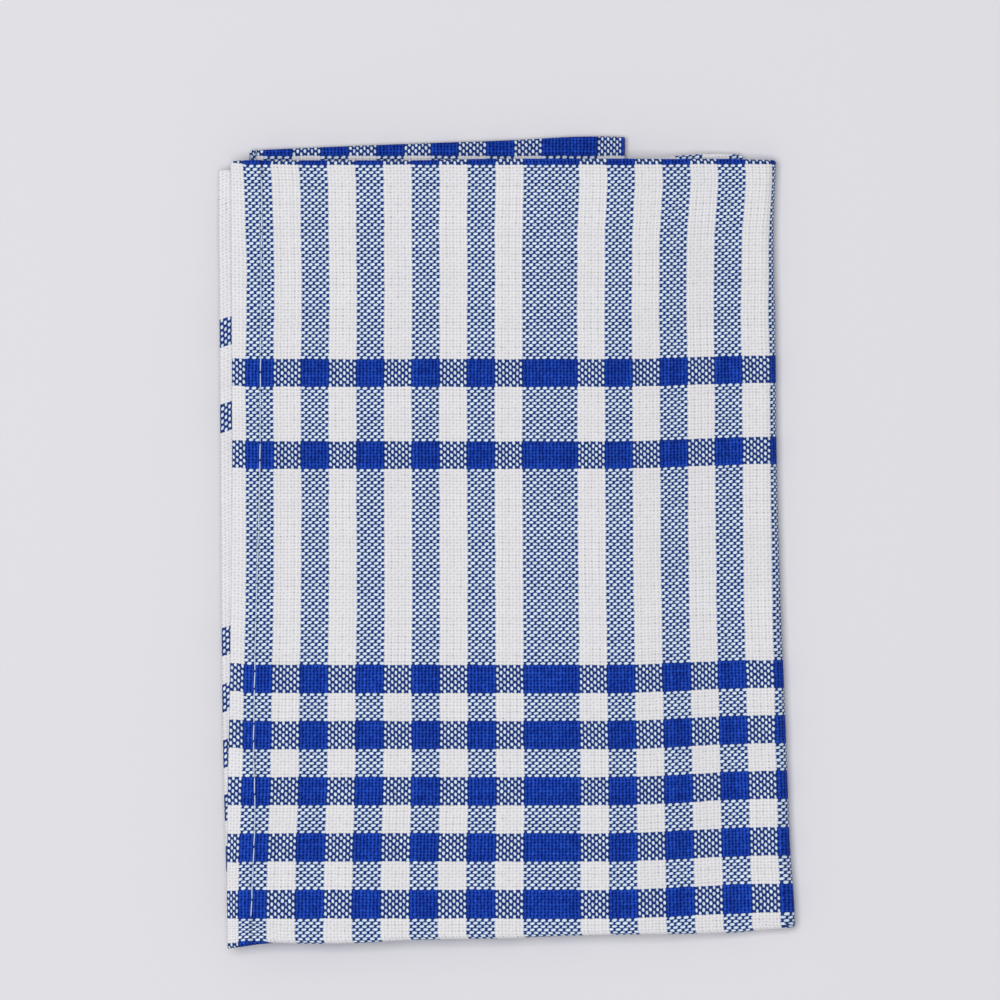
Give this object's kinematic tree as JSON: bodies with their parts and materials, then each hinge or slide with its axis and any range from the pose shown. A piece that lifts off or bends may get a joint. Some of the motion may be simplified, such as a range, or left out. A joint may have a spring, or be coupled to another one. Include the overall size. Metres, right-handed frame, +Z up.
{
  "type": "folded cloth napkin",
  "caption": "Checked cotton napkin folded in thirds both ways into a flat upright rectangle, with hemmed edges, for laying on a table or shelf.",
  "frame": {"origin": "on the table, under the middle of the folded napkin", "axes": "+Z up out of the table, +Y along the folded napkin's long side towards its top folds, +X towards the side with the wide right fold"},
  "size_m": [0.178, 0.2496, 0.0116],
  "materials": {
    "checked_cotton": "matt plain-weave cotton, white with a bright blue window check"
  },
  "bodies": {
    "root": {"napkin_cloth": "checked_cotton"}
  },
  "joints": []
}
